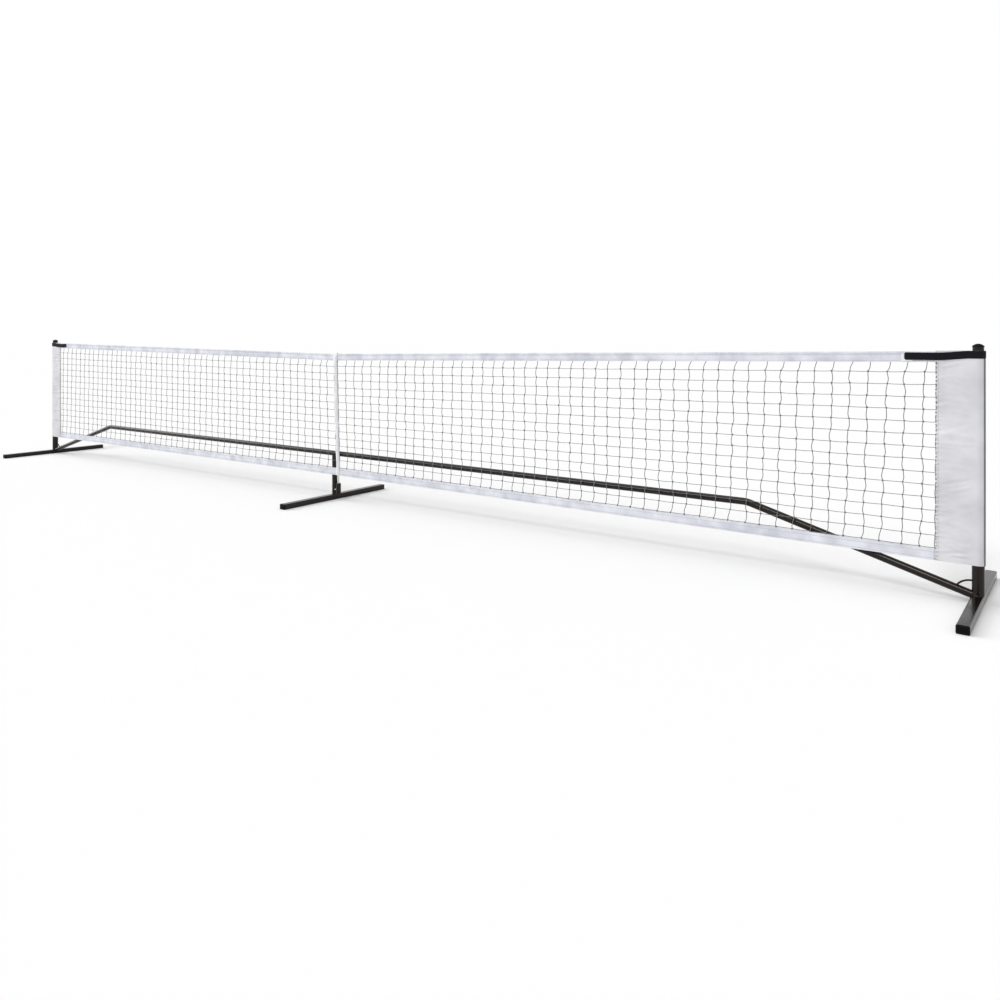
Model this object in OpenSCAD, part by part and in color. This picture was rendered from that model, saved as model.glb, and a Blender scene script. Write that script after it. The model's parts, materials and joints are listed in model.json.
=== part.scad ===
// Portable pickleball net on a take-apart steel frame.
// Millimetres. X runs along the net, -Y is the side the net hangs on, Z is up.
// The origin lies on the ground, midway between the two end posts.

/* [Net] */
// Distance between the axes of the two end posts
post_span = 6706; // [6200:2:7200]
// Height of the net's top edge at the posts
net_top_end = 914; // [890:1:930]
// Height of the net's top edge at the centre
net_top_centre = 864; // [830:1:900]
// Height of the net's bottom edge at the posts
net_bottom_end = 140; // [128:1:160]
// Height of the net's bottom edge at the centre
net_bottom_centre = 147; // [132:1:165]
// Height of the band along the top edge
top_tape_h = 40; // [34:1:56]
// Height of the band along the bottom edge
bottom_tape_h = 42; // [32:1:55]
// Thickness of the folded bands
tape_t = 4; // [3:0.5:6]
// Thickness of the netting
mesh_t = 3; // [2:0.5:4]
// Width of one strand of the netting
strand_w = 3; // [2:0.5:6]
// Columns of gaps in each half of the netting
mesh_columns = 25; // [10:1:25]
// Rows of gaps in the netting
mesh_rows = 6; // [3:1:6]
// Diameter of the cord inside the top band
top_cord_d = 5; // [3:0.5:7]
// Thickness of cloth round the cord
hem_t = 1.7; // [1:0.1:3]

/* [Sleeves and straps] */
// Reach of a sleeve from the post axis towards the net
sleeve_w = 135; // [110:1:170]
// Thickness of the sleeve cloth
sleeve_t = 1.1; // [0.8:0.1:2]
// Width of the bound edge sewn on the outer side
binding_w = 14; // [8:1:20]
// Thickness of the bound edge
binding_t = 1.5; // [1:0.1:2.5]
// Height of a hook-and-loop strap
strap_h = 28; // [20:1:35]
// Thickness of a strap
strap_t = 2; // [1.2:0.1:3]
// Length of a strap in front, from the post axis
strap_front = 240; // [180:1:300]
// Length of a strap behind, from the post axis
strap_back = 95; // [60:1:110]
// Height by which a strap's upper edge stands above the net's top edge
strap_rise = 0; // [-4:1:8]

/* [Feet] */
// Length of a foot, with its plugs
foot_l = 800; // [600:5:950]
// Width of a foot tube
foot_w = 42; // [42:1:60]
// Height of a foot tube
foot_h = 30; // [24:1:40]
// Wall of a foot tube
foot_wall = 2; // [1.5:0.1:3]
// Outer corner radius of a foot tube
foot_corner = 5; // [3:0.5:8]
// Thickness of the part of a plug that shows
plug_flange = 8; // [5:0.5:12]
// Depth of a plug inside its tube
plug_insert = 26; // [16:1:40]
// Chamfer round the face of a plug
plug_chamfer = 4; // [2:0.5:4.5]
// Thickness of a plug's walls and fins
plug_wall = 2.5; // [1.5:0.1:3]

/* [Posts] */
// Outer diameter of the stub welded on an end foot
base_stub_d = 42; // [38:0.5:42]
// Wall of the post tubes
post_wall = 1.8; // [1.5:0.1:2.5]
// Height of the top of the welded stub
base_stub_top = 190; // [170:1:230]
// Height of the top end of an end post, under its cap
post_top = 928; // [926:1:940]
// Height of the domed part of a post cap
cap_dome_h = 10; // [8:1:20]
// Thickness of the rim under the dome
cap_rim = 2; // [1.5:0.5:4]
// Depth of a post cap inside its tube
cap_insert = 22; // [15:1:35]
// Outer diameter of the centre post
centre_post_d = 38; // [36:0.5:40]
// Height of the spigot that the centre post stands on, from the ground
spigot_top = 150; // [120:1:180]
// Height of the push button in an end post
post_button_z = 105; // [95:1:115]
// Height of the push button in the centre post
centre_button_z = 58; // [50:1:60]
// Direction that the centre post's button faces, from +X
centre_button_turn = -45; // [-60:1:-42]

/* [Crossbar] */
// Outer diameter of the crossbar tubes
bar_d = 30; // [26:0.5:31]
// Wall of the crossbar tubes
bar_wall = 1.5; // [1.2:0.1:2]
// Height of the crossbar's axis along its level run
bar_z = 270; // [240:1:300]
// Height at which the sloping run's axis meets the post axis
brace_z = 24; // [22:1:40]
// Distance from a post axis to the crossbar's bend
bend_in = 853; // [700:1:1000]
// Radius of the bend, on the tube's axis
bend_r = 120; // [80:1:200]
// Length of the welded stub that starts the sloping run
brace_stub_l = 150; // [120:1:200]
// Level length of a bent tube past its bend
bent_level_l = 250; // [160:1:400]
// Length of a spigot inside the next tube
spigot_l = 60; // [50:1:80]
// Distance from a shoulder to its push button
button_in = 30; // [20:1:32]
// Half length of the coupling on the centre post
tee_half = 50; // [30:1:80]
// Diameter of the curved gusset rod
gusset_d = 7; // [5:0.5:9]
// Reach of the gusset rod along the sloping run
gusset_reach = 46; // [40:1:80]
// Height of the gusset rod's upper end on the stub
gusset_z = 80; // [78:1:95]
// Radius of the gusset rod's curve
gusset_r = 60; // [50:1:200]

/* [Push buttons] */
// Diameter of a push button
button_d = 8; // [6:0.5:9]
// Height that a button stands out of its tube
button_out = 3; // [2:0.5:4]
// Diameter of the flange that stops a button
button_flange_d = 11; // [10:0.5:12]
// Thickness of that flange
button_flange_t = 1.5; // [1:0.1:2]
// Clearance round a button in its holes
button_clear = 0.3; // [0.2:0.05:0.5]
// Thickness of the leaf spring behind a button
leaf_t = 0.8; // [0.5:0.1:1]
// Width of the leaf spring
leaf_w = 7; // [5:0.5:8]
// Length of the leaf spring along its tube
leaf_l = 36; // [30:1:40]

/* [Centre rod] */
// Diameter of the centre rod
rod_d = 12; // [9:0.5:12]
// Height of the rod's upper end
rod_top = 850; // [845:1:852]
// Distance of the rod's lower end from the centre line
rod_low_x = 54; // [50:1:60]
// Distance of the rod's upper end from the centre line
rod_high_x = 28; // [24:1:40]
// Outer diameter of the rod socket
socket_d = 28; // [26:1:32]
// Wall of the rod socket
socket_wall = 3; // [2:0.5:4]
// Height of the socket's lower end
socket_z = 40; // [36:1:44]
// Height of the socket
socket_h = 60; // [56:1:70]
// Thickness of the plate that carries the socket
bracket_t = 6; // [4:0.5:8]
// Height of the plate that carries the socket
bracket_h = 26; // [18:1:28]
// Thickness of the cloth pocket round the rod
pocket_t = 1.2; // [0.8:0.1:2]
// Width of the cloth pocket
pocket_w = 26; // [20:1:34]

/* [Fits] */
// Radial clearance of a tube in a tube
fit_clear = 0.25; // [0.2:0.05:0.35]
// Clearance between cloth and what it lies on
cloth_clear = 0.4; // [0.3:0.1:0.6]
// Gap at a weld between two curved faces
weld_gap = 0.2; // [0.15:0.05:0.3]
// Clearance between the net and the stubs that it hangs in front of
net_gap = 3; // [2.5:0.5:5]

/* [Hidden] */

$fn = 64;
steel = [0.10, 0.09, 0.09];
plastic = [0.05, 0.05, 0.06];
cloth = [0.86, 0.87, 0.90];
twine = [0.25, 0.26, 0.28];
bright = [0.75, 0.75, 0.76];
LEFT = -1;
RIGHT = 1;
cut = 1;        // how far a cutting shape runs past what it cuts
far = 2000;     // long enough to cut through anything here
arc_steps = 36; // steps of the cloth's curve round a post
lap = 1;        // overlap of a bend with its straight ends
swell = 0.05;   // a bend is this much fuller than its straight ends
seam_gap = 0.1; // between the netting's inner edges and the pocket

half_span = post_span / 2;
net_y = -(base_stub_d / 2 + net_gap);

// Tubes that fit one in another
post_d = base_stub_d - 2 * post_wall - 2 * fit_clear;
centre_spigot_d = centre_post_d - 2 * post_wall - 2 * fit_clear;
bar_spigot_d = bar_d - 2 * bar_wall - 2 * fit_clear;

// Crossbar run, from a post axis towards the centre
bar_slope = atan2(bar_z - brace_z, bend_in);
bend_x = half_span - bend_in;
bend_tangent = bend_r * tan(bar_slope / 2);
sloping_l = norm([bend_in, bar_z - brace_z]) - bend_tangent;
bent_end_x = bend_x - bent_level_l;
middle_x = (bent_end_x + tee_half) / 2;

// Edges of the net at a distance x from the centre
function top_edge(x) = net_top_centre + (net_top_end - net_top_centre) * abs(x) / half_span;
function bottom_edge(x) =
    net_bottom_centre + (net_bottom_end - net_bottom_centre) * abs(x) / half_span;
net_end = half_span - sleeve_w;

// Centre rod: its foot rests just above the socket's floor
rod_low_z = socket_z + socket_wall + cloth_clear;
rod_lean = atan2(rod_low_x - rod_high_x, rod_top - rod_low_z);
rod_l = norm([rod_low_x - rod_high_x, rod_top - rod_low_z]);
socket_mid_z = socket_z + socket_h / 2;
function rod_x(z) = rod_low_x - (z - rod_low_z) * tan(rod_lean);
pocket_bore_r = rod_d / 2 + cloth_clear;
pocket_r = pocket_bore_r + pocket_t;
pocket_reach = 2 * rod_low_x + 2 * pocket_w; // spans the pocket on both sides of the centre
hem_r = top_cord_d / 2 + cloth_clear + hem_t;

// Sleeve section, round the post and flat towards the net
sleeve_r = base_stub_d / 2 + cloth_clear + sleeve_t;
sleeve_top = net_top_end;

// ---------------------------------------------------------------- helpers

module side(hand) {
    if (hand == RIGHT) children();
    else mirror([1, 0, 0]) children();
}

module along_x() {
    rotate([0, 90, 0]) children();
}

module ring(outer_d, inner_d, h) {
    difference() {
        cylinder(d = outer_d, h = h);
        translate([0, 0, -cut]) cylinder(d = inner_d, h = h + 2 * cut);
    }
}

module rounded_rect(w, h, r) {
    square([w - 2 * r, h], center = true);
    square([w, h - 2 * r], center = true);
    for (x = [-1, 1], y = [-1, 1])
        translate([x * (w / 2 - r), y * (h / 2 - r)]) circle(r = r);
}

// A tube whose last part, spigot_l long, is swaged down to fit in the next tube
module swaged_tube(l) {
    ro = bar_d / 2;
    ri = ro - bar_wall;
    so = bar_spigot_d / 2;
    si = so - bar_wall;
    neck = ro - so;
    rotate_extrude()
        polygon([[ri, 0], [ro, 0], [ro, l], [so, l], [so, l + spigot_l], [si, l + spigot_l],
                 [si, l], [ri, l - neck * 2]]);
}

module button_hole(d, turn = 0) {
    rotate([0, 0, turn]) rotate([0, 90, 0]) cylinder(d = button_d + 2 * button_clear, h = d);
}

// A bar of thickness t from p to q, in the plane
module leaf(p, q, t) {
    v = q - p;
    translate(p) rotate(atan2(v[1], v[0])) translate([0, -t / 2]) square([norm(v), t]);
}

// Direction of the point where the tangent from p touches a circle of radius r
function tangent_angle(p, r, s) = atan2(p[1], p[0]) + s * acos(r / norm(p));

// ------------------------------------------------------------------- feet

module foot_tube_at(x) {
    color(steel) translate([x, foot_l / 2 - plug_flange, foot_h / 2]) rotate([90, 0, 0])
        linear_extrude(foot_l - 2 * plug_flange) difference() {
            rounded_rect(foot_w, foot_h, foot_corner);
            rounded_rect(foot_w - 2 * foot_wall, foot_h - 2 * foot_wall, foot_corner - foot_wall);
        }
}

// Face of a plug, with a chamfer on each of its four front edges; z = 0 meets the tube
module plug_face() {
    c = plug_chamfer;
    intersection() {
        linear_extrude(plug_flange) rounded_rect(foot_w, foot_h, foot_corner);
        rotate([90, 0, 0]) linear_extrude(foot_h * 2, center = true)
            polygon([[-foot_w / 2, -cut], [foot_w / 2, -cut], [foot_w / 2, plug_flange - c],
                     [foot_w / 2 - c, plug_flange], [c - foot_w / 2, plug_flange],
                     [-foot_w / 2, plug_flange - c]]);
        rotate([90, 0, 90]) linear_extrude(foot_w * 2, center = true)
            polygon([[-foot_h / 2, -cut], [foot_h / 2, -cut], [foot_h / 2, plug_flange - c],
                     [foot_h / 2 - c, plug_flange], [c - foot_h / 2, plug_flange],
                     [-foot_h / 2, plug_flange - c]]);
    }
}

module plug() {
    in_w = foot_w - 2 * foot_wall - 2 * fit_clear;
    in_h = foot_h - 2 * foot_wall - 2 * fit_clear;
    core_w = in_w - 2 * plug_wall / 2;
    core_h = in_h - 2 * plug_wall / 2;
    r = foot_corner - foot_wall - fit_clear;
    fins = 3;
    plug_face();
    translate([0, 0, -plug_insert]) difference() {
        union() {
            linear_extrude(plug_insert) rounded_rect(core_w, core_h, r / 2);
            for (i = [0 : fins - 1])
                translate([0, 0, 1 + i * (plug_insert - plug_wall) / fins])
                    linear_extrude(plug_wall) rounded_rect(in_w, in_h, r);
        }
        translate([0, 0, -cut]) linear_extrude(plug_insert - plug_wall + cut)
            rounded_rect(core_w - 2 * plug_wall, core_h - 2 * plug_wall, r / 2);
    }
}

module foot_plugs_at(x) {
    color(plastic) for (s = [-1, 1])
        translate([x, s * (foot_l / 2 - plug_flange), foot_h / 2]) rotate([s * -90, 0, 0]) plug();
}

// -------------------------------------------------------------- end bases

// Fillet weld round a tube on top of a foot, kept on the flat of the foot
module foot_weld(d) {
    bead = 3;
    intersection() {
        translate([0, 0, foot_h]) rotate_extrude()
            polygon([[d / 2 - post_wall / 2, 0], [d / 2 + bead, 0], [d / 2, bead],
                     [d / 2 - post_wall / 2, bead]]);
        translate([0, 0, foot_h + bead / 2])
            cube([foot_w - 2 * foot_corner, d * 2, bead * 2], center = true);
    }
}

module base_stub(hand) {
    color(steel) translate([hand * half_span, 0, 0]) {
        difference() {
            translate([0, 0, foot_h]) ring(base_stub_d, base_stub_d - 2 * post_wall,
                                           base_stub_top - foot_h);
            translate([0, 0, post_button_z]) button_hole(base_stub_d, 90);
        }
        foot_weld(base_stub_d);
    }
}

// Moves to the post axis where the sloping run starts, with +Z along the run
module sloping_frame(hand) {
    side(hand) translate([half_span, 0, brace_z]) rotate([0, bar_slope - 90, 0]) children();
}

module brace_stub(hand) {
    color(steel) difference() {
        sloping_frame(hand) swaged_tube(brace_stub_l);
        translate([hand * half_span, 0, 0]) cylinder(d = base_stub_d + 2 * weld_gap, h = far);
        translate([hand * half_span, 0, 0]) cube([foot_w, foot_l, 2 * foot_h], center = true);
        sloping_frame(hand) translate([0, 0, brace_stub_l + button_in])
            button_hole(bar_d, 90);
    }
}

// Centre of the circle of radius r through p and q, on the right of the way from p to q
function arc_centre(p, q, r) =
    let (v = q - p, l = norm(v), rise = sqrt(r * r - l * l / 4))
    (p + q) / 2 + [v[1], -v[0]] / l * rise;

// Rod curved from the top of the sloping run up to the stub, cut to fit both
module gusset_rod(hand) {
    run = base_stub_d / 2 + gusset_reach;
    low = [-run, brace_z + run * tan(bar_slope) + bar_d / 2 / cos(bar_slope)];
    high = [-base_stub_d / 2, gusset_z];
    c = arc_centre(low, high, gusset_r);
    past = 6; // degrees that the arc runs on into the tubes, where it is cut
    a0 = atan2(high[1] - c[1], high[0] - c[0]) - past;
    a1 = atan2(low[1] - c[1], low[0] - c[0]) + past;
    color(steel) difference() {
        side(hand) translate([half_span + c[0], 0, c[1]]) rotate([90, 0, 0]) rotate([0, 0, a0])
            rotate_extrude(angle = a1 - a0) translate([gusset_r, 0]) circle(d = gusset_d);
        translate([hand * half_span, 0, 0]) cylinder(d = base_stub_d + 2 * weld_gap, h = far);
        sloping_frame(hand) cylinder(d = bar_d + 2 * weld_gap, h = brace_stub_l);
    }
}

module end_post(hand) {
    color(steel) translate([hand * half_span, 0, 0]) difference() {
        translate([0, 0, foot_h]) ring(post_d, post_d - 2 * post_wall, post_top - foot_h);
        translate([0, 0, post_button_z]) button_hole(base_stub_d, 90);
    }
}

module post_cap(hand) {
    overhang = 1.5;
    rim_r = post_d / 2 + overhang;
    plug_r = post_d / 2 - post_wall - fit_clear;
    sphere_r = (rim_r * rim_r + cap_dome_h * cap_dome_h) / (2 * cap_dome_h);
    color(plastic) translate([hand * half_span, 0, post_top]) {
        cylinder(r = rim_r, h = cap_rim);
        intersection() {
            translate([0, 0, cap_rim + cap_dome_h - sphere_r]) sphere(r = sphere_r);
            translate([0, 0, cap_rim / 2]) cylinder(r = rim_r, h = far);
        }
        translate([0, 0, -cap_insert]) difference() {
            cylinder(r = plug_r, h = cap_insert + cap_rim / 2);
            translate([0, 0, -cut]) cylinder(r = plug_r - plug_wall, h = cap_insert);
        }
    }
}

// --------------------------------------------------------------- crossbar

module bent_tube(hand) {
    ro = bar_d / 2;
    ri = ro - bar_wall;
    color(steel) difference() {
        union() {
            sloping_frame(hand) translate([0, 0, brace_stub_l])
                ring(bar_d, 2 * ri, sloping_l - brace_stub_l + lap);
            side(hand) translate([bend_x - bend_tangent, 0, bar_z - bend_r]) rotate([90, 0, 0])
                rotate([0, 0, 90 - bar_slope]) rotate_extrude(angle = bar_slope)
                    translate([bend_r, 0]) difference() {
                        circle(r = ro + swell);
                        circle(r = ri - swell);
                    }
            side(hand) translate([bend_x - bend_tangent + lap, 0, bar_z]) rotate([0, -90, 0])
                swaged_tube(bent_level_l - bend_tangent + lap);
        }
        sloping_frame(hand) translate([0, 0, brace_stub_l + button_in]) button_hole(bar_d, 90);
        level_button_hole(hand, bent_end_x);
    }
}

// Hole for the push button that locks the joint whose shoulder is at x
module level_button_hole(hand, x, inward = true) {
    b = inward ? x - button_in : x + button_in;
    translate([hand * b, 0, bar_z]) button_hole(bar_d, 90);
}

module outer_tube(hand) {
    color(steel) difference() {
        side(hand) translate([bent_end_x, 0, bar_z]) rotate([0, -90, 0])
            swaged_tube(bent_end_x - middle_x);
        level_button_hole(hand, bent_end_x);
        level_button_hole(hand, middle_x);
    }
}

module inner_tube(hand) {
    color(steel) difference() {
        side(hand) translate([tee_half, 0, bar_z]) along_x()
            ring(bar_d, bar_d - 2 * bar_wall, middle_x - tee_half);
        level_button_hole(hand, middle_x);
        level_button_hole(hand, tee_half, false);
    }
}

module crossbar_tee() {
    color(steel) difference() {
        for (hand = [LEFT, RIGHT])
            side(hand) translate([0, 0, bar_z]) along_x() swaged_tube(tee_half);
        for (hand = [LEFT, RIGHT]) level_button_hole(hand, tee_half, false);
    }
}

// ------------------------------------------------------------ centre post

module centre_post() {
    color(steel) difference() {
        translate([0, 0, foot_h]) ring(centre_post_d, centre_post_d - 2 * post_wall,
                                       bar_z - bar_d / 6 - foot_h);
        translate([0, 0, bar_z]) along_x()
            cylinder(d = bar_d + 2 * weld_gap, h = far, center = true);
        translate([0, 0, centre_button_z]) button_hole(base_stub_d, centre_button_turn);
    }
}

module centre_spigot() {
    color(steel) difference() {
        translate([0, 0, foot_h]) ring(centre_spigot_d, centre_spigot_d - 2 * post_wall,
                                       spigot_top - foot_h);
        translate([0, 0, centre_button_z]) button_hole(base_stub_d, centre_button_turn);
    }
}

socket_x = rod_x(socket_mid_z);

module socket_bracket() {
    low = centre_button_z + button_d;
    reach = norm([socket_x, net_y]);
    color(steel) difference() {
        translate([0, 0, low]) rotate([0, 0, atan2(net_y, socket_x)])
            translate([0, -bracket_t / 2, 0]) cube([reach, bracket_t, bracket_h]);
        cylinder(d = centre_post_d + 2 * weld_gap, h = far);
        translate([socket_x, net_y, 0]) cylinder(d = socket_d + 2 * weld_gap, h = far);
    }
}

module rod_socket() {
    color(steel) translate([socket_x, net_y, socket_z]) difference() {
        cylinder(d = socket_d, h = socket_h);
        translate([0, 0, socket_wall]) cylinder(d = socket_d - 2 * socket_wall, h = socket_h);
    }
}

// Moves to the rod's foot, with +Z along the rod
module rod_frame() {
    translate([rod_low_x, net_y, rod_low_z]) rotate([0, -rod_lean, 0]) children();
}

module centre_rod() {
    chamfer = rod_d / 12;
    color(bright) rod_frame() rotate_extrude()
        polygon([[0, 0], [rod_d / 2 - chamfer, 0], [rod_d / 2, chamfer],
                 [rod_d / 2, rod_l - chamfer], [rod_d / 2 - chamfer, rod_l], [0, rod_l]]);
}

// -------------------------------------------------------------------- net

// The field between the two bands, for the pocket and the netting
module field(x0, x1, t) {
    b = bottom_tape_h;
    translate([0, net_y + t / 2, 0]) rotate([90, 0, 0]) linear_extrude(t)
        polygon([[x0, bottom_edge(x0) + b], [0, bottom_edge(0) + b], [x1, bottom_edge(x1) + b],
                 [x1, top_edge(x1) - top_tape_h], [0, top_edge(0) - top_tape_h],
                 [x0, top_edge(x0) - top_tape_h]]);
}

module rod_pocket() {
    color(cloth) intersection() {
        rod_frame() difference() {
            linear_extrude(rod_l) {
                circle(r = pocket_r);
                square([pocket_w, tape_t], center = true);
            }
            translate([0, 0, -cut]) cylinder(r = pocket_bore_r, h = rod_l + 2 * cut);
        }
        field(-pocket_reach / 2, pocket_reach / 2, pocket_w);
    }
}

// Inner edge of a half of the netting, beside the pocket, at height share v
function inner_x(hand, v) =
    let (z = net_bottom_centre + bottom_tape_h
             + v * (net_top_centre - top_tape_h - net_bottom_centre - bottom_tape_h))
    rod_x(z) + hand * (pocket_w / 2 / cos(rod_lean) + seam_gap);

// Point of a half of the netting: u runs from the sleeve to the pocket, v runs upward
function mesh_point(hand, u, v) =
    let (x = hand * net_end * (1 - u) + inner_x(hand, v) * u,
         z0 = bottom_edge(x) + bottom_tape_h,
         z1 = top_edge(x) - top_tape_h)
    [x, z0 + (z1 - z0) * v];

// Outline of a half of the netting. The left half reaches past the centre line, where
// both bands turn, so it has a corner there too
function mesh_outline(hand) =
    let (low = [0, net_bottom_centre + bottom_tape_h],
         high = [0, net_top_centre - top_tape_h],
         turns = hand == LEFT)
    [mesh_point(hand, 0, 0), if (turns) low, mesh_point(hand, 1, 0),
     mesh_point(hand, 1, 1), if (turns) high, mesh_point(hand, 0, 1)];

module mesh_half(hand) {
    du = 1 / mesh_columns;
    dv = 1 / mesh_rows;
    su = strand_w / 2 / net_end;
    sv = strand_w / 2 / (net_top_centre - net_bottom_centre - top_tape_h - bottom_tape_h);
    translate([0, net_y + mesh_t / 2, 0]) rotate([90, 0, 0]) linear_extrude(mesh_t)
        difference() {
            polygon(mesh_outline(hand));
            for (i = [0 : mesh_columns - 1], j = [0 : mesh_rows - 1])
                polygon([for (c = [[su, sv], [du - su, sv], [du - su, dv - sv], [su, dv - sv]])
                         mesh_point(hand, i * du + c[0], j * dv + c[1])]);
        }
}

module net_mesh() {
    color(twine) for (hand = [LEFT, RIGHT]) mesh_half(hand);
}

// A straight rod along one half of the top hem
module hem_run(hand, d) {
    z0 = top_edge(0) - hem_r;
    z1 = top_edge(net_end) - hem_r;
    v = [hand * net_end, z1 - z0];
    translate([0, net_y, z0]) rotate([0, atan2(v[0], v[1]), 0]) cylinder(d = d, h = norm(v));
}

module band(top, h) {
    translate([0, net_y + tape_t / 2, 0]) rotate([90, 0, 0]) linear_extrude(tape_t)
        polygon([for (p = [-1, 0, 1]) let (x = p * net_end)
                     [x, top ? top_edge(x) - hem_r : bottom_edge(x)],
                 for (p = [1, 0, -1]) let (x = p * net_end)
                     [x, top ? top_edge(x) - top_tape_h : bottom_edge(x) + h]]);
}

module top_tape() {
    bore = top_cord_d + 2 * cloth_clear;
    color(cloth) difference() {
        union() {
            band(true, top_tape_h);
            for (hand = [LEFT, RIGHT]) hem_run(hand, 2 * hem_r);
            intersection() {
                rod_frame() cylinder(r = pocket_r, h = rod_l + pocket_t);
                translate([0, net_y, net_top_centre - hem_r])
                    cube([pocket_reach, pocket_w, 2 * top_tape_h - 2 * hem_r], center = true);
            }
        }
        for (hand = [LEFT, RIGHT]) hem_run(hand, bore);
        translate([0, net_y, top_edge(0) - hem_r]) sphere(d = bore);
        rod_frame() cylinder(r = pocket_bore_r, h = rod_l + cloth_clear);
        field(-net_end, net_end, pocket_w);
    }
}

module bottom_tape() {
    color(cloth) difference() {
        union() {
            band(false, bottom_tape_h);
            intersection() {
                rod_frame() cylinder(r = pocket_r, h = rod_l);
                translate([0, net_y, net_bottom_centre + bottom_tape_h / 2])
                    cube([pocket_reach, pocket_w, bottom_tape_h], center = true);
            }
        }
        rod_frame() cylinder(r = pocket_bore_r, h = rod_l);
        field(-net_end, net_end, pocket_w);
    }
}

module top_cord() {
    color(twine) {
        for (hand = [LEFT, RIGHT]) hem_run(hand, top_cord_d);
        translate([0, net_y, top_edge(0) - hem_r]) sphere(d = top_cord_d);
    }
}

// ------------------------------------------------------ sleeves and straps

// Outline round a right-hand post of radius r that narrows to half_t about the net at
// corner from the post axis, and runs on level as far as reach
function loop_outline(r, half_t, corner, reach = 0) =
    let (front = [-corner, net_y - half_t],
         back = [-corner, net_y + half_t],
         a0 = tangent_angle(back, r, -1) + 360,
         a1 = tangent_angle(front, r, 1))
    concat([for (i = [0 : arc_steps]) let (a = a0 + (a1 - a0) * i / arc_steps)
                [r * cos(a), r * sin(a)]],
           [front],
           reach > corner ? [[-reach, front[1]], [-reach, back[1]]] : [],
           [back]);

module sleeve(hand) {
    z0 = net_bottom_end;
    color(cloth) side(hand) translate([half_span, 0, z0]) linear_extrude(sleeve_top - z0)
        difference() {
            polygon(loop_outline(sleeve_r, tape_t / 2, sleeve_w));
            polygon(loop_outline(sleeve_r - sleeve_t, tape_t / 2 - sleeve_t,
                                 sleeve_w - 2 * sleeve_t));
        }
}

module sleeve_binding(hand) {
    r = sleeve_r + cloth_clear;
    turn = binding_w / r * 180 / PI;
    in_front = 8; // degrees from +X towards the net side
    below = 1;    // gap under the strap
    z0 = net_bottom_end;
    color(twine) side(hand) translate([half_span, 0, z0]) rotate([0, 0, -turn - in_front])
        rotate_extrude(angle = turn) translate([r, 0])
            square([binding_t, net_top_end + strap_rise - strap_h - z0 - below]);
}

// Section of a right-hand strap: behind the net, round the post and along the front
module strap_section() {
    r = sleeve_r + cloth_clear;
    half_t = hem_r + cloth_clear;
    difference() {
        polygon(loop_outline(r + strap_t, half_t + strap_t, sleeve_w, strap_front));
        polygon(loop_outline(r, half_t, sleeve_w, strap_front + cut));
        translate([-far - strap_back, net_y]) square([far, far]);
    }
}

module strap(hand) {
    corner = strap_h / 5;
    z0 = net_top_end + strap_rise - strap_h;
    color(plastic) side(hand) translate([half_span, 0, z0]) intersection() {
        linear_extrude(strap_h) strap_section();
        translate([-strap_front / 2 + strap_h, 0, strap_h / 2]) rotate([90, 0, 0])
            linear_extrude(far, center = true)
                rounded_rect(strap_front + 2 * strap_h, strap_h, corner);
    }
}

// ----------------------------------------------------------- push buttons

// A button on the inner tube's axis, facing +Z, with the tube along +Y
module button(inner_bore_d, outer_d) {
    seat = sqrt(pow(inner_bore_d / 2, 2) - pow(button_flange_d / 2, 2)) - fit_clear;
    top = outer_d / 2 + button_out;
    dome = button_d / 4;
    sphere_d = 1.12 * button_d; // cut by the button's side, it leaves a low dome
    sink = 0.1;                 // how far the dome starts inside the straight part
    color(bright) {
        translate([0, 0, seat - button_flange_t]) cylinder(d = button_flange_d, h = button_flange_t);
        translate([0, 0, seat - button_flange_t / 2])
            cylinder(d = button_d, h = top - dome - seat + button_flange_t / 2);
        intersection() {
            translate([0, 0, top - button_d / 2]) sphere(d = sphere_d);
            translate([0, 0, top - dome - sink]) cylinder(d = button_d, h = dome + sink);
        }
    }
}

// Leaf spring bent in a V behind a button, with the tube along +X
module clip_spring(inner_bore_d) {
    seat = sqrt(pow(inner_bore_d / 2, 2) - pow(button_flange_d / 2, 2)) - fit_clear;
    under = seat - button_flange_t - leaf_t / 2;
    wall = -sqrt(pow(inner_bore_d / 2, 2) - pow(leaf_w / 2, 2)) + fit_clear + leaf_t / 2;
    tip_r = 3;
    mid = (under + wall) / 2;
    flat = button_flange_d / 2;
    color(bright) rotate([90, 0, 0]) linear_extrude(leaf_w, center = true) {
        leaf([-flat, under], [flat, under], leaf_t);
        leaf([flat, under], [leaf_l, mid + tip_r], leaf_t);
        leaf([-flat, wall], [flat, wall], leaf_t);
        leaf([flat, wall], [leaf_l, mid - tip_r], leaf_t);
        translate([leaf_l, mid]) difference() {
            circle(r = tip_r + leaf_t / 2);
            circle(r = tip_r - leaf_t / 2);
            translate([-far, -far / 2]) square([far, far]);
        }
        for (z = [under, wall]) translate([flat, z]) circle(d = leaf_t);
    }
}

// Places of the buttons: a frame with +Z out of the button and +X along the tube
module post_place(hand) {
    translate([hand * half_span, 0, post_button_z]) rotate([0, -90, -90]) children();
}

module centre_place() {
    translate([0, 0, centre_button_z]) rotate([0, 0, centre_button_turn - 180])
        rotate([0, -90, 0]) children();
}

module brace_place(hand) {
    sloping_frame(hand) translate([0, 0, brace_stub_l + button_in])
        rotate([0, -90, -90]) children();
}

module level_place(hand, x, inward = true) {
    b = inward ? x - button_in : x + button_in;
    side(hand) translate([b, 0, bar_z]) rotate([-90, 0, 0]) children();
}

post_bore = post_d - 2 * post_wall;
centre_bore = centre_spigot_d - 2 * post_wall;
bar_bore = bar_spigot_d - 2 * bar_wall;

module post_clip_springs() {
    for (hand = [LEFT, RIGHT]) post_place(hand) clip_spring(post_bore);
    centre_place() clip_spring(centre_bore);
}

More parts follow.
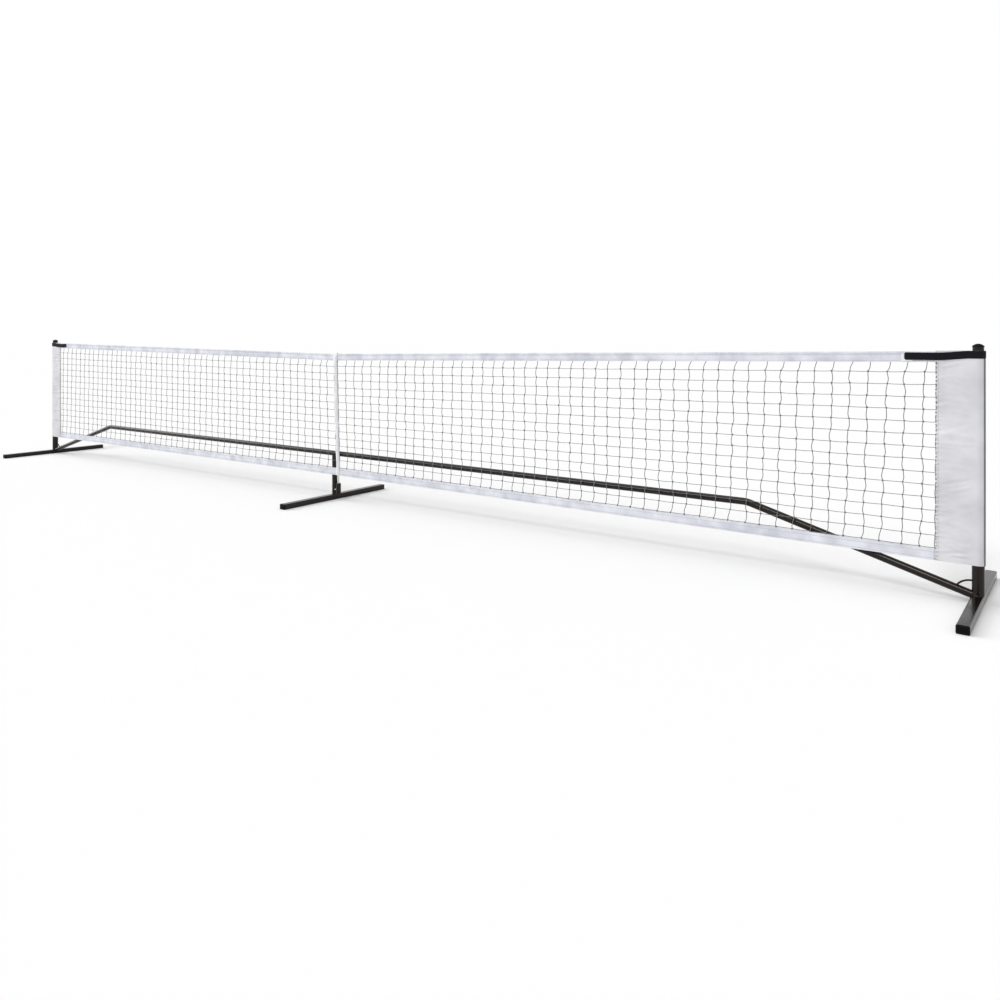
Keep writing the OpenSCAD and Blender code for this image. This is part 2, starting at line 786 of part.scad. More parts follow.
module crossbar_clip_springs() {
    for (hand = [LEFT, RIGHT]) {
        brace_place(hand) clip_spring(bar_bore);
        level_place(hand, bent_end_x) clip_spring(bar_bore);
        level_place(hand, middle_x) clip_spring(bar_bore);
        level_place(hand, tee_half, false) clip_spring(bar_bore);
    }
}

// ------------------------------------------------------------------ nodes

foot_tube_at(-half_span);  // left_foot_tube
foot_tube_at(0);  // centre_foot_tube
foot_tube_at(half_span);  // right_foot_tube
foot_plugs_at(-half_span);  // left_foot_plugs
foot_plugs_at(0);  // centre_foot_plugs
foot_plugs_at(half_span);  // right_foot_plugs
base_stub(LEFT);  // left_base_stub
base_stub(RIGHT);  // right_base_stub
brace_stub(LEFT);  // left_brace_stub
brace_stub(RIGHT);  // right_brace_stub
gusset_rod(LEFT);  // left_gusset_rod
gusset_rod(RIGHT);  // right_gusset_rod
end_post(LEFT);  // left_post
end_post(RIGHT);  // right_post
post_cap(LEFT);  // left_post_cap
post_cap(RIGHT);  // right_post_cap
bent_tube(LEFT);  // left_bent_tube
bent_tube(RIGHT);  // right_bent_tube
outer_tube(LEFT);  // left_outer_tube
outer_tube(RIGHT);  // right_outer_tube
inner_tube(LEFT);  // left_inner_tube
inner_tube(RIGHT);  // right_inner_tube
crossbar_tee();
centre_post();
centre_spigot();
socket_bracket();
rod_socket();
centre_rod();
rod_pocket();
net_mesh();
top_tape();
bottom_tape();
top_cord();
sleeve(LEFT);  // left_sleeve
sleeve(RIGHT);  // right_sleeve
sleeve_binding(LEFT);  // left_sleeve_binding
sleeve_binding(RIGHT);  // right_sleeve_binding
strap(LEFT);  // left_strap
strap(RIGHT);  // right_strap
post_place(LEFT) button(post_bore, base_stub_d);  // left_post_button
post_place(RIGHT) button(post_bore, base_stub_d);  // right_post_button
centre_place() button(centre_bore, centre_post_d);  // centre_post_button
brace_place(LEFT) button(bar_bore, bar_d);  // left_brace_button
brace_place(RIGHT) button(bar_bore, bar_d);  // right_brace_button
level_place(LEFT, bent_end_x) button(bar_bore, bar_d);  // left_bend_button
level_place(RIGHT, bent_end_x) button(bar_bore, bar_d);  // right_bend_button
level_place(LEFT, middle_x) button(bar_bore, bar_d);  // left_middle_button
level_place(RIGHT, middle_x) button(bar_bore, bar_d);  // right_middle_button
level_place(LEFT, tee_half, false) button(bar_bore, bar_d);  // left_tee_button
level_place(RIGHT, tee_half, false) button(bar_bore, bar_d);  // right_tee_button
post_clip_springs();
crossbar_clip_springs();
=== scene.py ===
import bpy
import bmesh
import json
import math
import random
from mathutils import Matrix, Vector, noise


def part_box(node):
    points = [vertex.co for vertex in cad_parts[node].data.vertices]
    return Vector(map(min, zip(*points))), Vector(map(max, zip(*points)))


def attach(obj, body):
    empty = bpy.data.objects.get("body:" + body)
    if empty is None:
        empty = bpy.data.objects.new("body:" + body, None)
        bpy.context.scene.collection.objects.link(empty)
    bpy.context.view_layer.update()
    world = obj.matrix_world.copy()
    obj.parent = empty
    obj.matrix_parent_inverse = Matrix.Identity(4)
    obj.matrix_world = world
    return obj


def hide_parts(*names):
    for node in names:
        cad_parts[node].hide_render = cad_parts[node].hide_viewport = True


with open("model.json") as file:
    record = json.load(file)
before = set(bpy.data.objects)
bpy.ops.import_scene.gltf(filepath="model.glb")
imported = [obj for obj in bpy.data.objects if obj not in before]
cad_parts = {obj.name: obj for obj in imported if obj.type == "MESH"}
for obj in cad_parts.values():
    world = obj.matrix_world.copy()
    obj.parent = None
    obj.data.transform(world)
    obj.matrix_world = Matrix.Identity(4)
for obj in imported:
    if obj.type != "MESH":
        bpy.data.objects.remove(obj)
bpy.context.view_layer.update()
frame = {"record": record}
frameBody = "frame_and_net"

# sizes shared by the pieces, in metres, as in the frame
net = {
    "halfSpan": 3.353, "y": -0.024, "end": 3.218,
    "topEnd": 0.914, "topCentre": 0.864, "bottomEnd": 0.140, "bottomCentre": 0.147,
    "topBand": 0.040, "bottomBand": 0.042,
}
rod = {"lowX": 0.054, "highX": 0.028, "lowZ": 0.0434, "topZ": 0.850}


def topEdge(x):
    return net["topCentre"] + (net["topEnd"] - net["topCentre"]) * abs(x) / net["halfSpan"]


def bottomEdge(x):
    return net["bottomCentre"] + (net["bottomEnd"] - net["bottomCentre"]) * abs(x) / net["halfSpan"]


def rodX(z):
    share = (z - rod["lowZ"]) / (rod["topZ"] - rod["lowZ"])
    return rod["lowX"] + (rod["highX"] - rod["lowX"]) * share


def smooth(a, b, x):
    t = min(1.0, max(0.0, (x - a) / (b - a)))
    return t * t * (3 - 2 * t)


def rough(x, y, z):
    return noise.noise(Vector((x, y, z)))


def levels(low, high, count):
    return [low + (high - low) * i / count for i in range(count + 1)]


# shader helpers

def newGroup(name, inputs, outputs):
    group = bpy.data.node_groups.new(name, "ShaderNodeTree")
    for label, kind, value in inputs:
        socket = group.interface.new_socket(name=label, in_out="INPUT", socket_type=kind)
        if value is not None:
            socket.default_value = value
    for label, kind in outputs:
        group.interface.new_socket(name=label, in_out="OUTPUT", socket_type=kind)
    return group, group.nodes.new("NodeGroupInput"), group.nodes.new("NodeGroupOutput")


def mathNode(tree, operation, a, b=None, c=None, clamp=False):
    node = tree.nodes.new("ShaderNodeMath")
    node.operation = operation
    node.use_clamp = clamp
    for i, value in enumerate((a, b, c)):
        if value is None:
            continue
        if isinstance(value, bpy.types.NodeSocket):
            tree.links.new(value, node.inputs[i])
        else:
            node.inputs[i].default_value = value
    return node.outputs[0]


def times(tree, a, b):
    return mathNode(tree, "MULTIPLY", a, b)


def noiseNode(tree, vector, scale, detail, roughness=0.55):
    node = tree.nodes.new("ShaderNodeTexNoise")
    node.inputs["Scale"].default_value = scale
    node.inputs["Detail"].default_value = detail
    node.inputs["Roughness"].default_value = roughness
    tree.links.new(vector, node.inputs["Vector"])
    return node.outputs["Fac"]


def rampNode(tree, value, low, high, lowTo=0.0, highTo=1.0):
    node = tree.nodes.new("ShaderNodeMapRange")
    node.inputs["From Min"].default_value = low
    node.inputs["From Max"].default_value = high
    node.inputs["To Min"].default_value = lowTo
    node.inputs["To Max"].default_value = highTo
    tree.links.new(value, node.inputs["Value"])
    return node.outputs["Result"]


def mixNode(tree, factor, a, b):
    node = tree.nodes.new("ShaderNodeMix")
    node.data_type = "RGBA"
    tree.links.new(factor, node.inputs["Factor"])
    for socket, value in ((node.inputs[6], a), (node.inputs[7], b)):
        if isinstance(value, bpy.types.NodeSocket):
            tree.links.new(value, socket)
        else:
            socket.default_value = (*value, 1.0)
    return node.outputs[2]


def splitNode(tree, vector):
    node = tree.nodes.new("ShaderNodeSeparateXYZ")
    tree.links.new(vector, node.inputs[0])
    return node.outputs


def makeWeaveGroup():
    # plain weave: threads along U and V pass over and under each other
    group, enter, leave = newGroup(
        "plainWeave",
        [("Vector", "NodeSocketVector", None), ("Thread", "NodeSocketFloat", 0.0008)],
        [("Height", "NodeSocketFloat"), ("Gap", "NodeSocketFloat")],
    )
    split = splitNode(group, enter.outputs["Vector"])
    across = []
    for axis in (0, 1):
        turns = mathNode(group, "DIVIDE", split[axis], enter.outputs["Thread"])
        across.append(mathNode(group, "SINE", times(group, turns, math.pi)))
    product = times(group, across[0], across[1])
    height = mathNode(group, "MULTIPLY_ADD", product, 0.5, 0.5)
    gap = mathNode(group, "MINIMUM", mathNode(group, "ABSOLUTE", across[0]),
                   mathNode(group, "ABSOLUTE", across[1]))
    group.links.new(height, leave.inputs["Height"])
    group.links.new(mathNode(group, "LESS_THAN", gap, 0.22), leave.inputs["Gap"])
    return group


def makeStitchGroup():
    # a line of stitches at V, along U, as a mask
    group, enter, leave = newGroup(
        "stitchLine",
        [("Vector", "NodeSocketVector", None), ("At", "NodeSocketFloat", 0.0),
         ("Width", "NodeSocketFloat", 0.0006), ("Step", "NodeSocketFloat", 0.004)],
        [("Mask", "NodeSocketFloat")],
    )
    split = splitNode(group, enter.outputs["Vector"])
    off = mathNode(group, "ABSOLUTE", mathNode(group, "SUBTRACT", split[1], enter.outputs["At"]))
    near = mathNode(group, "LESS_THAN", off, enter.outputs["Width"])
    along = mathNode(group, "FRACT", mathNode(group, "DIVIDE", split[0], enter.outputs["Step"]))
    thread = mathNode(group, "LESS_THAN", along, 0.72)
    group.links.new(times(group, near, thread), leave.inputs["Mask"])
    return group


def makeDustGroup():
    # soft uneven tone and fine specks
    group, enter, leave = newGroup(
        "unevenTone",
        [("Vector", "NodeSocketVector", None), ("Large", "NodeSocketFloat", 6.0),
         ("Fine", "NodeSocketFloat", 90.0)],
        [("Tone", "NodeSocketFloat"), ("Specks", "NodeSocketFloat")],
    )
    outputs = []
    for label, detail in (("Large", 3.0), ("Fine", 5.0)):
        node = group.nodes.new("ShaderNodeTexNoise")
        node.inputs["Detail"].default_value = detail
        group.links.new(enter.outputs["Vector"], node.inputs["Vector"])
        group.links.new(enter.outputs[label], node.inputs["Scale"])
        outputs.append(node.outputs["Fac"])
    group.links.new(outputs[0], leave.inputs["Tone"])
    group.links.new(rampNode(group, outputs[1], 0.62, 0.72), leave.inputs["Specks"])
    return group


weaveGroup = makeWeaveGroup()
stitchGroup = makeStitchGroup()
dustGroup = makeDustGroup()


def useGroup(tree, group, vector, **values):
    node = tree.nodes.new("ShaderNodeGroup")
    node.node_tree = group
    tree.links.new(vector, node.inputs["Vector"])
    for label, value in values.items():
        node.inputs[label].default_value = value
    return node.outputs


def newMaterial(name, roughness, **values):
    material = bpy.data.materials.new(name)
    material.use_nodes = True
    tree = material.node_tree
    shader = tree.nodes["Principled BSDF"]
    shader.inputs["Roughness"].default_value = roughness
    for label, value in values.items():
        shader.inputs[label].default_value = value
    coordinates = tree.nodes.new("ShaderNodeTexCoord")
    return material, tree, shader, coordinates.outputs["Object"]


def bumpInto(tree, shader, height, strength, distance):
    bump = tree.nodes.new("ShaderNodeBump")
    bump.inputs["Strength"].default_value = strength
    bump.inputs["Distance"].default_value = distance
    tree.links.new(height, bump.inputs["Height"])
    tree.links.new(bump.outputs["Normal"], shader.inputs["Normal"])


def wanderInto(tree, shader, tone, low, high):
    # the roughness wanders between two values with the tone
    wander = rampNode(tree, tone["Tone"], 0.3, 0.7, low, high)
    tree.links.new(wander, shader.inputs["Roughness"])


# colours are linear, "grain" is the bump's noise scale and "bump" its strength
finishes = {
    "powder": {
        "low": (0.0020, 0.0018, 0.0016), "high": (0.006, 0.005, 0.0046), "rub": (0.10, 0.09, 0.08),
        "tint": (1.0, 0.88, 0.82, 1.0), "specular": 0.30, "roughness": 0.17, "wander": (0.14, 0.22),
        "grain": 900.0, "bump": 0.06,
    },
    "plastic": {
        "low": (0.002, 0.002, 0.0025), "high": (0.006, 0.006, 0.007), "lint": (0.09, 0.09, 0.09),
        "specular": 0.06, "roughness": 0.5, "wander": (0.42, 0.58), "grain": 1500.0, "bump": 0.25,
    },
    # the band's thread colour is real stitching, darkened to also paint the shade lines under the hem
    # and at the lower fold
    "band": {"low": (0.59, 0.60, 0.67), "high": (0.83, 0.84, 0.90), "thread": (0.42, 0.43, 0.48)},
    "sleeve": {"low": (0.61, 0.61, 0.64), "high": (0.75, 0.75, 0.78)},
    # the pocket's thread colour is real stitching, darkened to also paint the shade on the pocket's
    # flat edges
    "patch": {"low": (0.79, 0.79, 0.82), "high": (0.89, 0.89, 0.91), "thread": (0.32, 0.32, 0.35)},
    "binding": {"low": (0.05, 0.05, 0.06), "high": (0.32, 0.32, 0.34), "rib": 0.0068},
    "strap": {
        "low": (0.004, 0.004, 0.006), "high": (0.014, 0.014, 0.018), "lint": (0.20, 0.20, 0.21),
        "fibre": 900.0, "bump": 0.6,
    },
    "twine": {
        "low": (0.09, 0.09, 0.10), "high": (0.21, 0.21, 0.22),
        "roughness": 0.8, "grain": 1800.0, "bump": 0.5,
    },
    "knot": {
        "low": (0.020, 0.020, 0.022), "high": (0.050, 0.050, 0.054),
        "roughness": 0.8, "grain": 1800.0, "bump": 0.5,
    },
    "cord": {
        "low": (0.62, 0.62, 0.62), "high": (0.78, 0.78, 0.78),
        "roughness": 0.75, "grain": 1400.0, "bump": 0.4,
    },
    "rod": {
        "low": (0.60, 0.61, 0.63), "high": (0.72, 0.73, 0.75),
        "roughness": 0.32, "grain": 700.0, "bump": 0.06,
    },
    "zinc": {
        "low": (0.55, 0.55, 0.56), "high": (0.75, 0.75, 0.76),
        "roughness": 0.28, "grain": 900.0, "bump": 0.08, "metallic": 1.0,
    },
    "spring": {
        "low": (0.34, 0.35, 0.37), "high": (0.50, 0.51, 0.53),
        "roughness": 0.34, "grain": 1100.0, "bump": 0.10, "metallic": 1.0,
    },
}


def makePowderCoat():
    finish = finishes["powder"]
    material, tree, shader, place = newMaterial(
        "blackPowderCoat", finish["roughness"],
        **{"Specular IOR Level": finish["specular"], "Specular Tint": finish["tint"]})
    tone = useGroup(tree, dustGroup, place, Large=5.0, Fine=140.0)
    base = mixNode(tree, tone["Tone"], finish["low"], finish["high"])
    scuff = noiseNode(tree, place, scale=420.0, detail=3.0)
    patch = rampNode(tree, noiseNode(tree, place, scale=16.0, detail=2.0), low=0.58, high=0.72)
    marks = mathNode(tree, "MULTIPLY", rampNode(tree, scuff, low=0.66, high=0.70), patch, clamp=True)
    faint = times(tree, marks, 0.5)
    tree.links.new(mixNode(tree, faint, base, finish["rub"]), shader.inputs["Base Color"])
    wanderInto(tree, shader, tone, *finish["wander"])
    grain = noiseNode(tree, place, scale=finish["grain"], detail=2.0)
    bumpInto(tree, shader, grain, finish["bump"], 0.0006)
    return material


def makePlastic():
    finish = finishes["plastic"]
    material, tree, shader, place = newMaterial(
        "blackPlastic", finish["roughness"], **{"Specular IOR Level": finish["specular"]})
    tone = useGroup(tree, dustGroup, place, Large=40.0, Fine=900.0)
    base = mixNode(tree, tone["Tone"], finish["low"], finish["high"])
    lint = times(tree, tone["Specks"], 0.15)
    tree.links.new(mixNode(tree, lint, base, finish["lint"]), shader.inputs["Base Color"])
    wanderInto(tree, shader, tone, *finish["wander"])
    grain = noiseNode(tree, place, scale=finish["grain"], detail=3.0)
    bumpInto(tree, shader, grain, finish["bump"], 0.0004)
    return material


def makeCloth(name, key, thread, sheen, stitches=(), tonePatch=14.0, width=0.0009):
    finish = finishes[key]
    material, tree, shader, place = newMaterial(
        name, 0.82, **{"Sheen Weight": sheen, "Sheen Roughness": 0.5, "Specular IOR Level": 0.3})
    flat = place.node.outputs["UV"]
    weave = useGroup(tree, weaveGroup, flat, Thread=thread)
    tone = useGroup(tree, dustGroup, place, Large=tonePatch, Fine=260.0)
    uneven = rampNode(tree, tone["Tone"], low=0.32, high=0.68)
    base = mixNode(tree, uneven, finish["low"], finish["high"])
    gap = times(tree, weave["Gap"], 0.22)
    base = mixNode(tree, gap, base, finish["low"])
    height = times(tree, weave["Height"], 0.35)
    # stitch lines in the thread colour: real stitching; on the band and the pocket they are darker, to
    # also paint shade lines
    for at in stitches:
        line = useGroup(tree, stitchGroup, flat, At=at, Width=width, Step=0.0045)
        base = mixNode(tree, times(tree, line["Mask"], 0.75), base, finish["thread"])
        height = mathNode(tree, "ADD", height, line["Mask"])
    tree.links.new(base, shader.inputs["Base Color"])
    wanderInto(tree, shader, tone, 0.76, 0.90)
    bumpInto(tree, shader, height, 0.35, 0.0004)
    return material


def makeLoopFace():
    # short brushed fibres on a darker ground
    finish = finishes["strap"]
    material, tree, shader, place = newMaterial(
        "blackHookAndLoop", 0.95,
        **{"Sheen Weight": 0.03, "Sheen Roughness": 0.6, "Specular IOR Level": 0.12})
    tone = useGroup(tree, dustGroup, place, Large=30.0, Fine=finish["fibre"])
    fine = noiseNode(tree, place, scale=finish["fibre"], detail=6.0, roughness=0.7)
    base = mixNode(tree, rampNode(tree, fine, low=0.35, high=0.68), finish["low"], finish["high"])
    lint = times(tree, tone["Specks"], 0.05)
    tree.links.new(mixNode(tree, lint, base, finish["lint"]), shader.inputs["Base Color"])
    bumpInto(tree, shader, fine, finish["bump"], 0.0008)
    return material


# a dark grey ribbed binding: a real strip, also dark to paint the shade on the sleeve's outer edge
def makeRibbed():
    finish = finishes["binding"]
    material, tree, shader, place = newMaterial(
        "greyBinding", 0.85, **{"Sheen Weight": 0.1, "Specular IOR Level": 0.25})
    flat = place.node.outputs["UV"]
    turns = times(tree, splitNode(tree, flat)[1], math.tau / finish["rib"])
    rib = mathNode(tree, "MULTIPLY_ADD", mathNode(tree, "SINE", turns), 0.5, 0.5)
    tone = useGroup(tree, dustGroup, place, Large=25.0, Fine=500.0)
    base = mixNode(tree, rib, finish["low"], finish["high"])
    base = mixNode(tree, times(tree, tone["Tone"], 0.4), base, finish["low"])
    tree.links.new(base, shader.inputs["Base Color"])
    bumpInto(tree, shader, rib, 0.4, 0.0005)
    return material


def makeSimple(name, key):
    finish = finishes[key]
    roughness = finish["roughness"]
    metallic = finish.get("metallic", 0.0)
    material, tree, shader, place = newMaterial(name, roughness, Metallic=metallic)
    tone = useGroup(tree, dustGroup, place, Large=18.0, Fine=300.0)
    base = mixNode(tree, tone["Tone"], finish["low"], finish["high"])
    tree.links.new(base, shader.inputs["Base Color"])
    wanderInto(tree, shader, tone, roughness * 0.8, min(1.0, roughness * 1.2))
    grain = noiseNode(tree, place, scale=finish["grain"], detail=3.0)
    bumpInto(tree, shader, grain, finish["bump"], 0.0004)
    return material


materials = {
    "black_powder_coat": makePowderCoat(),
    "black_plastic": makePlastic(),
    # the band's two stitch lines are real stitching, widened and darkened to also paint the shade
    # lines under the hem and at the lower fold
    "white_tape": makeCloth("whiteBand", "band", thread=0.0011, sheen=0.25,
                            stitches=(0.0115, 0.0345), width=0.0011),
    "white_sleeve_cloth": makeCloth("whiteSleeveCloth", "sleeve", thread=0.0008, sheen=0.20,
                                    tonePatch=9.0),
    "grey_binding": makeRibbed(),
    "hook_and_loop": makeLoopFace(),
    "black_twine": makeSimple("blackTwine", "twine"),
    "braided_cord": makeSimple("braidedCord", "cord"),
    "white_fibreglass": makeSimple("whiteFibreglass", "rod"),
    "plated_button": makeSimple("platedButton", "zinc"),
    "spring_steel": makeSimple("springSteel", "spring"),
}
print("materials made:", len(materials))


def dress(piece, *made):
    piece.data.materials.clear()
    for material in made:
        piece.data.materials.append(material)


# every node of the frame takes its slot's finish
slotOf = {part["node"]: part["material_slot"] for part in frame["record"]["subparts"]}
for nodeName, slotName in slotOf.items():
    dress(bpy.data.objects[nodeName], materials[slotName])
print("frame nodes dressed:", len(slotOf))


# camera, light and floor

scene = bpy.context.scene
view = {
    "place": (3.740, -3.477, 0.965), "turn": 36.0, "lens": 30.25, "sensor": 36.0, "shift": -0.1633,
    "far": 200.0,
}
light = {
    "sky": 0.48, "seen": 1.0, "colour": (1.0, 1.0, 1.0, 1.0),
    "row": (
        {"energy": 0.78, "size": 16.0, "forward": 45.0, "tilt": 5.0},
        {"energy": 0.53, "size": 40.0, "forward": 5.0, "tilt": -25.0},
        {"energy": 1.50, "size": 40.0, "forward": 10.0, "tilt": -66.0},
    ),
}
ground = {"size": 160.0, "colour": (0.998, 0.998, 0.998, 1.0), "roughness": 0.9, "specular": 0.0}


def addObject(name, data):
    made = bpy.data.objects.new(name, data)
    scene.collection.objects.link(made)
    return made


cameraData = bpy.data.cameras.new("camera")
cameraData.lens = view["lens"]
cameraData.sensor_width = view["sensor"]
cameraData.shift_y = view["shift"]
cameraData.clip_end = view["far"]
camera = addObject("camera", cameraData)
camera.location = view["place"]
camera.rotation_euler = (math.radians(90), 0, math.radians(view["turn"]))
scene.camera = camera
scene.view_settings.view_transform = "Standard"

world = bpy.data.worlds.new("studio")
scene.world = world
world.use_nodes = True
sky = world.node_tree
sky.nodes.clear()
leaveSky = sky.nodes.new("ShaderNodeOutputWorld")
skyMix = sky.nodes.new("ShaderNodeMixShader")
skyPath = sky.nodes.new("ShaderNodeLightPath")
skySeen = mathNode(sky, "ADD", skyPath.outputs["Is Camera Ray"], skyPath.outputs["Is Glossy Ray"])
skySeen = mathNode(sky, "ADD", skySeen, skyPath.outputs["Is Transmission Ray"], clamp=True)
sky.links.new(skySeen, skyMix.inputs["Fac"])
for i, strength in enumerate((light["sky"], light["seen"])):
    background = sky.nodes.new("ShaderNodeBackground")
    background.inputs["Color"].default_value = light["colour"]
    background.inputs["Strength"].default_value = strength
    sky.links.new(background.outputs[0], skyMix.inputs[i + 1])
sky.links.new(skyMix.outputs[0], leaveSky.inputs[0])

# a row of soft lights, from the front to the left, that draws a line along the tubes
for i, soft in enumerate(light["row"]):
    lamp = bpy.data.lights.new("rowLight" + str(i), "SUN")
    lamp.energy = soft["energy"]
    lamp.angle = math.radians(soft["size"])
    sun = addObject("rowLight" + str(i), lamp)
    sun.rotation_euler = (math.radians(soft["forward"]), math.radians(soft["tilt"]), 0)

bpy.ops.object.select_all(action="DESELECT")
bpy.ops.mesh.primitive_plane_add(size=ground["size"], location=(0, 0, 0))
floor = bpy.context.object
floor.name = "studioFloor"
floorPaint = bpy.data.materials.new("paleFloor")
floorPaint.use_nodes = True
floorShader = floorPaint.node_tree.nodes["Principled BSDF"]
floorShader.inputs["Base Color"].default_value = ground["colour"]
floorShader.inputs["Roughness"].default_value = ground["roughness"]
floorShader.inputs["Specular IOR Level"].default_value = ground["specular"]
floor.data.materials.append(floorPaint)
print("camera, light and floor made")


# mesh helpers

def meshPiece(name, points, faces, uvs, slotName):
    mesh = bpy.data.meshes.new(name)
    mesh.from_pydata(points, [], faces)
    if uvs:
        layer = mesh.uv_layers.new(name="flat")
        for corner in mesh.loops:
            layer.data[corner.index].uv = uvs[corner.vertex_index]
    piece = addObject(name, mesh)
    mesh.materials.append(materials[slotName])
    mesh.update()
    return piece


def settle(piece, slotName, *replaced):
    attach(piece, frameBody)
    if replaced:
        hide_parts(*replaced)


def selectOnly(piece):
    bpy.ops.object.select_all(action="DESELECT")
    piece.select_set(True)
    bpy.context.view_layer.objects.active = piece


def smoothAll(piece, angle):
    selectOnly(piece)
    bpy.ops.object.shade_smooth_by_angle(angle=math.radians(angle))


def clothFromRows(name, rows, thickness, slotName, closed=False):
    # rows run along the piece, each goes across it, and each point comes with its flat place
    wide = len(rows[0])
    points = [place for row in rows for place, flat in row]
    uvs = [flat for row in rows for place, flat in row]
    faces = []
    for i in range(len(rows) - 1):
        for j in range(wide if closed else wide - 1):
            k = (j + 1) % wide
            faces.append((i * wide + j, i * wide + k, (i + 1) * wide + k, (i + 1) * wide + j))
    piece = meshPiece(name, points, faces, uvs, slotName)
    selectOnly(piece)
    solidify = piece.modifiers.new("solidify", "SOLIDIFY")
    solidify.thickness = thickness
    solidify.offset = 0.0
    solidify.use_even_offset = False
    bpy.ops.object.modifier_apply(modifier=solidify.name)
    smoothAll(piece, 50)
    return piece


bead = {"sides": 6, "rings": ((-0.5, 0.35), (-0.25, 1.0), (0.25, 1.0), (0.5, 0.35))}
stitch = {"step": 0.0052, "length": 0.0036, "radius": 0.00055}


def addBead(points, faces, middle, along, up, length, radius):
    # a short thread end, at middle; each ring has its place along it and its share of the radius
    side = along.cross(up)
    sides = bead["sides"]
    base = len(points)
    for place, share in bead["rings"]:
        for k in range(sides):
            turn = math.tau * k / sides
            points.append(middle + along * (place * length)
                          + (side * math.cos(turn) + up * math.sin(turn)) * radius * share)
    last = base + sides * (len(bead["rings"]) - 1)
    for low in range(base, last, sides):
        for k in range(sides):
            m = (k + 1) % sides
            faces.append((low + k, low + sides + k, low + sides + m, low + m))
    faces.append(tuple(base + k for k in range(sides)))
    faces.append(tuple(last + k for k in reversed(range(sides))))


def threadPiece(name, points, faces, slotName):
    piece = meshPiece(name, points, faces, None, slotName)
    smoothAll(piece, 60)
    settle(piece, slotName)


def stitchesAlong(name, path, outward, slotName):
    points, faces = [], []
    at, walked = 0.0, 0.0
    for i in range(len(path) - 1):
        a, b = Vector(path[i]), Vector(path[i + 1])
        run = (b - a).length
        if run < 1e-9:
            continue
        along = (b - a) / run
        up = Vector(outward[i]).normalized()
        while at <= walked + run:
            addBead(points, faces, a + along * (at - walked), along, up,
                    stitch["length"], stitch["radius"])
            at += stitch["step"]
        walked += run
    threadPiece(name, points, faces, slotName)


# bands along the net's top and bottom

band = {
    "hemRadius": 0.0044, "hemDepth": 0.0046, "foldRadius": 0.0018, "cloth": 0.0006,
    "step": 0.009, "fineStep": 0.0025, "fineReach": 0.12, "rodBulge": 0.0076, "rodFade": 0.012,
    "sway": (0.0007, 0.0004), "edgeWave": 0.0007, "puff": 0.00045,
    "pucker": 0.00022, "puckerStep": 0.0085, "puckerDepth": 0.0145, "puckerReach": 0.003,
}
# how far down from its edge each point of a band is, and its half thickness there
topProfile = ((0.0115, 0.0011), (0.0135, 0.0016), (0.0175, 0.0020), (0.0225, 0.0022),
              (0.0270, 0.0021), (0.0305, 0.0018), (0.0330, 0.0014), (0.0345, 0.0010),
              (0.0370, 0.0014), (0.0400, 0.0011))
bottomProfile = ((0.0045, 0.0019), (0.0100, 0.0021), (0.0170, 0.0022), (0.0240, 0.0021),
                 (0.0300, 0.0017), (0.0345, 0.0013), (0.0365, 0.0010), (0.0390, 0.0014),
                 (0.0420, 0.0011))


def stations():
    xs, x = [], -net["end"]
    while x < net["end"] - 1e-6:
        xs.append(x)
        x += band["fineStep"] if abs(x) < band["fineReach"] else band["step"]
    return xs + [net["end"]]


def rodBulge(x, z):
    # half thickness that the cloth needs to pass round the rod
    if z > rod["topZ"] + 0.003:
        return 0.0
    off = abs(x - rodX(z))
    r = band["rodBulge"]
    if off < r * 0.8:
        return math.sqrt(r * r - off * off)
    return max(0.0, r * 0.6 * (1 - (off - r * 0.8) / band["rodFade"]))


def bandRow(x, atTop):
    row = []
    sway = band["sway"][0] * rough(x * 2.3, 1.7, 3.1 if atTop else 8.2)
    sway += band["sway"][1] * rough(x * 9.0, 4.4, 0.3)
    edgeWave = band["edgeWave"] * rough(x * 7.0, 9.1, 5.5 if atTop else 2.2)
    half = []
    if atTop:
        for a in range(0, 151, 25):
            turn = math.radians(a)
            half.append((band["hemDepth"] - band["hemRadius"] * math.cos(turn),
                         band["hemRadius"] * math.sin(turn)))
        half += topProfile
    else:
        for a in range(0, 91, 22):
            turn = math.radians(a)
            fold = band["foldRadius"]
            half.append((fold * (1 - math.cos(turn)), fold * math.sin(turn)))
        half += bottomProfile
    deepest = half[-1][0]
    sides = [(d, h, 1) for d, h in reversed(half)] + [(d, h, -1) for d, h in half[1:]]
    for d, h, side in sides:
        puff = band["puff"] * rough(x * 33.0, d * 70.0, 2.0 * side)
        pucker = band["pucker"] * math.sin(x * math.tau / band["puckerStep"])
        pucker *= math.exp(-((d - band["puckerDepth"]) / band["puckerReach"]) ** 2)
        swell = max(0.0, math.sin(math.pi * min(1.0, d / deepest)))
        h = h + (puff + pucker) * swell if h > 0.0012 else h
        lift = edgeWave * smooth(0.5, 1.0, d / deepest)
        z = topEdge(x) - d + lift if atTop else bottomEdge(x) + d + lift
        if not atTop or d > 0.0125:
            h = max(h, rodBulge(x, z))
        y = net["y"] + side * h + sway * smooth(0.0, 1.0, d / deepest)
        row.append(((x, y, z), (x, d if atTop else d + 0.004)))
    return row


def makeBand(name, atTop, replaced):
    rows = [bandRow(x, atTop) for x in stations()]
    piece = clothFromRows(name, rows, band["cloth"], "white_tape")
    settle(piece, "white_tape", replaced)


makeBand("topBand", True, "top_tape")
makeBand("bottomBand", False, "bottom_tape")
print("bands made")


# netting: twine with a knot at each crossing

